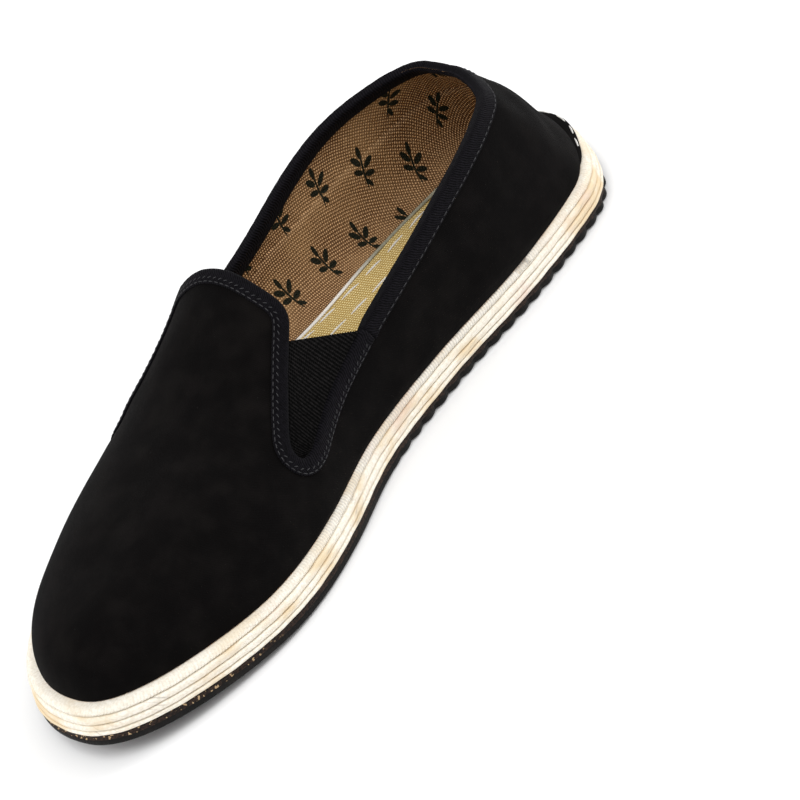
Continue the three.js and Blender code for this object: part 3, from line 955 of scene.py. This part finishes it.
wrapped_uv = np.concatenate([cloth_uv, cloth_uv[:, :1]], axis=1)[:, ::-1]
upper = closed(grid_sheet("upper_cloth", wrapped, wrapped_uv))
skin = surface_tree(upper)
print("last height, mm:", round(cloth[..., 2].max() / mm, 1))

# %% [markdown]
# The cloth gets its real thickness with Solidify, which grows inwards and gives the inside the
# second material, the lining. Then the opening is cut: its edge is drawn once in the side view,
# along the collar, round the V notch and up the throat, and pushed through the shoe as a block.

# %% Opening cut through the shoe


def rounded(corners):
    """A side-view path whose corners are rounded by a short curve."""
    path = []
    for i, (x, z, reach) in enumerate(corners):
        here = np.array([x, z])
        if reach == 0:
            path.append(here)
            continue
        before, after = np.array(corners[i - 1][:2]) - here, np.array(corners[i + 1][:2]) - here
        room = 0.45 * min(np.linalg.norm(before), np.linalg.norm(after))
        start = here + before / np.linalg.norm(before) * min(reach, room)
        end = here + after / np.linalg.norm(after) * min(reach, room)
        for t in np.linspace(0, 1, 9):
            path.append(start * (1 - t) ** 2 + here * 2 * t * (1 - t) + end * t**2)
    return np.array(path)


collar_at = np.linspace(-0.05, notch["at"][0], 60)[:-1]
collar_z = feather_height + column(collar, "rise", collar_at) * collar_height
corners = [((a - 0.5) * length, z, 0) for a, z in zip(collar_at, collar_z)]
corners += [
    ((a - 0.5) * length, feather_height + r * instep_height, reach * instep_height)
    for a, r, reach in zip(notch["at"], notch["rise"], notch["round"])
]
edge_path = rounded(corners)
roof = feather_height + 2 * instep_height
block_outline = [*edge_path, (edge_path[-1][0], roof), (edge_path[0][0] - length / 2, roof)]
block_outline.append((edge_path[0][0] - length / 2, edge_path[0][1]))

bpy.ops.object.select_all(action="DESELECT")
bpy.ops.mesh.primitive_circle_add(vertices=len(block_outline), radius=length, fill_type="NGON")
block = bpy.context.object
for vertex, (x, z) in zip(block.data.vertices, block_outline):
    vertex.co = (x, -ball_width, z)
edit(
    block,
    (bpy.ops.mesh.extrude_region_move, {"TRANSFORM_OT_translate": {"value": (0, 2 * ball_width, 0)}}),
    (bpy.ops.mesh.select_all, {"action": "SELECT"}),
    (bpy.ops.mesh.normals_make_consistent, {"inside": False}),
)


def apply_modifier(piece, kind, **settings):
    only(piece)
    modifier = piece.modifiers.new(kind.lower(), kind)
    for key, value in settings.items():
        setattr(modifier, key, value)
    bpy.ops.object.modifier_apply(modifier=modifier.name)


for finish in (black_cotton, burlap_lining, black_tape):
    upper.data.materials.append(finish)
    block.data.materials.append(finish)
block.data.polygons.foreach_set("material_index", [2] * len(block.data.polygons))
apply_modifier(upper, "SOLIDIFY", thickness=wall, offset=-1, material_offset=1, material_offset_rim=1)
apply_modifier(upper, "BOOLEAN", operation="DIFFERENCE", solver="EXACT", object=block)
bpy.data.objects.remove(block)
print("upper has", len(upper.data.polygons), "faces after the cut")

# %% [markdown]
# The cut leaves one closed line round the opening, where the outer cloth meets the block. Both
# tapes and their stitches follow that line, so it is read from the mesh and evened out.

# %% Line of the opening's edge


def cut_line(piece):
    shape = bmesh.new()
    shape.from_mesh(piece.data)
    links = {}
    for edge in shape.edges:
        if {face.material_index for face in edge.link_faces} == {0, 2}:
            a, b = edge.verts
            links.setdefault(a, []).append(b)
            links.setdefault(b, []).append(a)
    start = min(links, key=lambda v: v.co.x)
    line, previous, here = [start.co.copy()], None, start
    while True:
        following = [v for v in links[here] if v is not previous]
        if not following or following[0] is start:
            break
        previous, here = here, following[0]
        line.append(here.co.copy())
    shape.free()
    return np.array(line)


def evened(line, gap, passes=6):
    """An open line with even steps and its corners eased."""
    run = run_along(line)
    even = at_run(line, run, np.linspace(0, run[-1], int(run[-1] / gap) + 1))
    for _ in range(passes):
        even[1:-1] = even[1:-1] * 0.5 + (even[:-2] + even[2:]) * 0.25
    return even


opening = cut_line(upper)
if opening[1][1] < opening[-1][1]:
    opening = np.concatenate([opening[:1], opening[:0:-1]])
corner_x = (notch["at"][0] - 0.5) * length
corner_z = feather_height + notch["rise"][0] * instep_height
line_gap = 1.2 * mm


def corner_index(side):
    away = np.hypot(opening[:, 0] - corner_x, opening[:, 2] - corner_z)
    return int(np.argmin(away + (opening[:, 1] * side < 0) * length))


left_corner, right_corner = corner_index(1), corner_index(-1)
collar_line = evened(np.concatenate([opening[right_corner:], opening[: left_corner + 1]]), line_gap)
throat_line = evened(opening[left_corner : right_corner + 1], line_gap)
print("edges of collar and throat, mm:", [round(len(e) * line_gap / mm) for e in (collar_line, throat_line)])

# %% [markdown]
# ## Tapes
# Each raw edge is bound with a cotton tape folded over it and sewn down. Its section is drawn once,
# as distance into the cloth and height off it, and laid along the edge, following the surface.

# %% Tapes folded over the edges
collar_tape_width = 4.9
throat_tape_width = 4.4
tape_section = [
    (1.0, 0.05), (1.01, 0.4), (0.96, 0.66), (0.8, 0.7), (0.58, 0.86), (0.36, 0.92), (0.16, 0.93),
    (0.02, 0.86), (-0.09, 0.6), (-0.17, 0.1), (-0.2, -0.8), (-0.23, -1.7), (-0.19, -2.3), (-0.04, -2.6),
    (0.16, -2.65), (0.5, -2.55), (0.85, -2.4), (0.97, -2.3), (1.01, -2.0), (1.0, -1.66), (0.6, -1.68), (0.2, -1.66),
    (0.06, -1.5), (0.02, -0.8), (0.06, -0.1), (0.2, 0.04), (0.6, 0.04),
]


def edge_frame(line):
    """The cloth's outward normals and the direction into the cloth along an edge."""
    ahead = np.gradient(line, axis=0)
    ahead /= np.linalg.norm(ahead, axis=1, keepdims=True)
    normals = np.array([skin.find_nearest(Vector(p))[1] for p in line])
    into = np.cross(normals, ahead)
    into /= np.linalg.norm(into, axis=1, keepdims=True)
    return normals, into


def on_cloth(point, into, distance, height):
    """A place at a distance from the edge, held at a height off the cloth."""
    spot, normal, _, _ = skin.find_nearest(Vector(point + into * max(distance, 0)))
    return np.array(spot) + np.array(normal) * height + into * min(distance, 0)


_, heel_into = edge_frame(collar_line)
into_sign = -1 if heel_into[len(heel_into) // 2][2] > 0 else 1


def tape(name, line, width, node, seed):
    _, into = edge_frame(line)
    pucker = waves(run_along(line), (4.1 * mm, 2.6 * mm, 6.7 * mm), seed) * 0.07
    stations = []
    for point, direction, lift in zip(line, into * into_sign, pucker):
        section = []
        for distance, height in tape_section:
            raised = height + (lift if height > 0.4 else 0)
            section.append(on_cloth(point, direction, distance * width * mm, raised * mm))
        stations.append(section)
    piece = swept_solid(name, np.array(stations))
    dress(piece, "black_tape", black_tape)
    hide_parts(node)


tape("collar_tape", collar_line, collar_tape_width, "collar_binding", 31)
tape("throat_tape", throat_line, throat_tape_width, "throat_binding", 32)


def sewn_line(name, line, distance, height, pitch, long, seed, skew=0.0, thick=0.36 * mm):
    """A row of black stitches beside an edge."""
    normals, into = edge_frame(line)
    places = np.array([on_cloth(p, b, distance, height) for p, b in zip(line, into * into_sign)])
    stitch_row(name, places, normals, pitch, long, thick, black_thread, "black_tape", 0.4, skew, seed)


seam = slice(2, -2)
sewn_line("collar_stitches", collar_line[seam], 4.2 * mm, 0.72 * mm, 2.6 * mm, 2.1 * mm, 41)
sewn_line("throat_stitches", throat_line[seam], 3.85 * mm, 0.7 * mm, 2.1 * mm, 1.8 * mm, 42)
sewn_line("throat_stitches_inner", throat_line[seam], 2.6 * mm, 0.86 * mm, 2.1 * mm, 1.5 * mm, 43, 0.6)

# %% [markdown]
# ## Elastic gores
# A gore is a V of ribbed elastic sewn behind the tape, so that the shoe can be pulled on. Its cords
# run down the V. It is stretched between the two edges and sits a little behind the cloth.

# %% Gores
gore_drop = 0.75 * mm
gore_sag = 1.4 * mm
gore_thickness = 0.9 * mm
gore_top = feather_height + 0.7 * instep_height
cord_count = 30


def gore(side, line, node):
    lowest = int(np.argmin(line[: len(line) // 2][:, 2]))
    rear = line[: lowest + 1]
    front = line[lowest : len(line) // 2]
    front = front[: int(np.argmax(front[:, 2] > gore_top)) or len(front)]
    down = np.linspace(0, 1, 46)
    edges = []
    for part in (rear, front[::-1]):
        run = run_along(part)
        edges.append(at_run(part, run, down * run[-1]))
    across = np.linspace(0, 1, cord_count * 6 + 1)
    rows = []
    for a, b, level in zip(*edges, down):
        row = []
        for s, point in zip(across, a + (b - a) * across[:, None]):
            spot, normal, _, _ = skin.find_nearest(Vector(point))
            sag = gore_drop + gore_sag * math.sin(math.pi * s) * (1 - level) ** 0.7
            cord = 0.16 * mm * math.cos(2 * math.pi * s * cord_count)
            row.append(np.array(spot) - np.array(normal) * (sag - cord))
        rows.append(row)
    sheet = np.array(rows)
    if side == "right":
        sheet = sheet[:, ::-1]
    piece = grid_sheet(f"gore_panel_{side}", sheet)
    only(piece)
    bpy.ops.object.shade_smooth()
    centre = sheet.reshape(-1, 3).mean(axis=0)
    facing = sum((p.normal for p in piece.data.polygons), Vector())
    if facing.y * centre[1] < 0:
        edit(piece, (bpy.ops.mesh.flip_normals, {}))
    edit(piece, (bpy.ops.mesh.remove_doubles, {"threshold": weld_reach}))
    apply_modifier(piece, "SOLIDIFY", thickness=gore_thickness, offset=-1)
    dress(piece, "black_elastic", black_elastic)
    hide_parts(node)


gore("left", throat_line, "gore_left")
gore("right", throat_line[::-1], "gore_right")
dress(upper, "black_cloth", black_cotton, burlap_lining, black_tape)
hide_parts("upper")

# %% [markdown]
# ## Insole
# The insole is gold cloth on a thin board, quilted with lengthwise rows of long white stitches.

# %% Insole and its stitches
insole_out = feather_inset + wall + piece_gap
insole_top = feather_height + insole_thickness
insole_at = places_along(181, 3)
insole_across = np.linspace(-1, 1, 61)
insole_x, insole_y = plate_points(insole_out, insole_at, insole_across)
dome = 0.55 * mm * (1 - np.abs(insole_across) ** 6)
soft = waves(insole_x * 1.2 + insole_y * 0.8, (31 * mm, 53 * mm), 8) * 0.25 * mm
insole_z = spring_at(insole_x) + insole_top + dome + soft
face = np.stack([insole_x, insole_y, insole_z], axis=-1)
insole = dress(swept_solid("insole_cloth", backed(face, feather_height)), "gold_cloth", gold_cloth)
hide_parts("insole")

quilt_pitch = 8.3 * mm
quilt_rows = np.arange(-1.35, 2, 1) * quilt_pitch
quilt_x = np.linspace(-108, 80, 95) * mm
quilt_left, quilt_right = 14 * mm, 21 * mm
quilt_middle = -50 * mm
ring = outline_ring(400)
halves = (one_side(ring, 1), one_side(ring, -1))
left_y, right_y = (np.interp(quilt_x, ring["x"][half], ring["y"][half]) for half in halves)
drift = (left_y + right_y) / 2 - np.interp(quilt_middle, quilt_x, (left_y + right_y) / 2)
insole_skin = surface_tree(insole)
for k, offset in enumerate(quilt_rows):
    y = offset + drift
    shown = (y < left_y - quilt_left) & (y > right_y + quilt_right)
    above = [Vector((a, b, insole_top + 9 * mm)) for a, b in zip(quilt_x[shown], y[shown])]
    tops = [insole_skin.ray_cast(spot, Vector((0, 0, -1)))[0] for spot in above]
    line = np.array(tops) + (0, 0, 0.08 * mm)
    up = np.broadcast_to((0.0, 0.0, 1.0), line.shape)
    size = (11 * mm, 10.2 * mm, 0.75 * mm)
    stitch_row(f"quilting_{k + 1}", line, up, *size, white_thread, "gold_cloth", 0.5, 0, 50 + k)

# %% [markdown]
# The lining isn't cut off at the insole. It curves inwards and lies on it, so that only the middle
# of the insole shows its gold, with a pale selvedge along the joint. The curve starts on the
# lining's own surface and takes up its UV map there, so the print runs on without a step.

# %% Foot of the lining
lining = table("at left right rise", [
    (0.0, 14, 14, 24), (0.08, 13, 19, 24), (0.2, 12, 19.6, 24), (0.3, 11.5, 20.2, 24), (0.4, 12, 21.8, 22),
    (0.47, 12, 21, 12), (0.6, 12, 16, 11), (0.75, 11, 12, 11), (1.0, 10, 10, 9),
])


def loop_solid(name, rows, uv=None):
    """A ring that is closed along its length and round its section."""
    wrap = [np.concatenate([part, part[:1]]) for part in (rows, uv) if part is not None]
    wrap = [np.concatenate([part, part[:, :1]], axis=1) for part in wrap]
    return closed(grid_sheet(name, *wrap))


rib_ring = outline_ring(last_steps)
reach = by_side(rib_ring, column(lining, "left", rib_ring["at"]), column(lining, "right", rib_ring["at"]))
rise = column(lining, "rise", rib_ring["at"]) * mm


def on_wall(share, depth):
    """Points inside the wall at a share of the lining's rise, with their place on the UV map."""
    level = feather_height + spring_at(rib_ring["x"]) + rise * share
    sunk = cloth - surface_normals(cloth) * depth
    both = np.concatenate([sunk, cloth_uv], axis=2)
    found = np.array([at_run(both[:, i], sunk[:, i, 2], z) for i, z in enumerate(level)])
    return found[:, :3], found[:, 3:]


begin, begin_uv = on_wall(1, wall + 0.3 * mm)
corner, finish_line, tucked, behind = ring_rows(rib_ring, [
    (insole_top + 1.5 * mm, -feather_inset - wall - 1.5 * mm), (insole_top + 0.9 * mm, -reach * mm),
    (insole_top - 0.6 * mm, -reach * mm), (insole_top - 0.9 * mm, -feather_inset - wall / 2),
])
bend = np.linspace(0, 1, 15)[:, None, None]
curve = begin * (1 - bend) ** 2 + corner * 2 * bend * (1 - bend) + finish_line * bend**2
steps = np.linalg.norm(np.diff(curve, axis=0), axis=2)
arc = np.concatenate([np.zeros((1, len(begin))), np.cumsum(steps, axis=0)])
curve_uv = begin_uv + spoke * arc[..., None]
lining_rows = np.concatenate([curve, [tucked, behind, on_wall(0.5, wall / 2)[0], on_wall(1, wall / 2)[0]]])
lining_uv = np.concatenate([curve_uv, curve_uv[-1:], curve_uv[-1:], curve_uv[:1], curve_uv[:1]])
dress(loop_solid("lining_foot", lining_rows, lining_uv), "black_cloth", burlap_lining)


def selvedge_finish():
    f = Finish("selvedge")
    place = f.place()
    x, _, _ = f.split(place)
    slub = f.noise(place, 1.2, 3)
    rear = f.mix(slub, (0.16, 0.16, 0.11), (0.4, 0.38, 0.29))
    color = f.mix(x.step(-62, -40), rear, (0.8, 0.77, 0.72))
    return f.close(color, 0.85, slub, 0.1)


turn = np.linspace(0, 2 * np.pi, 9)[:-1]
selvedge_rows = ring_rows(rib_ring, [
    (insole_top + (0.75 + 0.45 * math.sin(a)) * mm, (-reach - 0.55 + 0.7 * math.cos(a)) * mm) for a in turn
])
dress(loop_solid("selvedge", selvedge_rows), "gold_cloth", selvedge_finish())

# %% [markdown]
# ## Foot of the heel
# At the heel the upper's lower edge shows as a thin black strip that is caught down by white
# running stitches.

# %% Heel strip
strip_end = 0.086
strip_ring = outline_ring(300)
near_heel = [i for i in range(-75, 76) if strip_ring["at"][i] < strip_end]
heel_ring = {key: values[near_heel] for key, values in strip_ring.items()}
strip_taper = np.clip((strip_end - heel_ring["at"]) / 0.03, 0, 1) ** 0.5
strip_flare = 1.7 * mm * np.clip((0.05 - heel_ring["at"]) / 0.04, 0, 1)
strip_profile = [
    (0.15, -1.5), (0.15, 1.2), (0.35, 1.7), (0.7, 1.75), (1.05, 1.4), (1.35, 0.6), (2.0, -0.9),
    (2.2, -3.2), (0.3, -3.4),
]
strip_rows = []
for z, out in strip_profile:
    reached = -feather_inset + (0.2 + out * strip_taper) * mm + strip_flare * (out > 0)
    strip_rows += [*ring_rows(heel_ring, [(feather_height + (z - 0.1) * mm, reached)])]
strip_rows = np.array(strip_rows)
strip = swept_solid("heel_strip", strip_rows.transpose(1, 0, 2))
dress(strip, "black_tape", black_cotton)
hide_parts("heel_rand")
running_place = (feather_height + 1.05 * mm, -feather_inset + 1.35 * mm + strip_flare)
sewn = slice(8, -8)
running_line = ring_rows(heel_ring, [running_place])[0][sewn]
running_up = np.stack([heel_ring["nx"], heel_ring["ny"], np.full(len(near_heel), 0.9)], axis=-1)[sewn]
running_stitch = (8.4 * mm, 6.6 * mm, 0.6 * mm)
stitch_row("heel_stitches", running_line, running_up, *running_stitch, white_thread, "black_tape", 0.5, 0, 61)
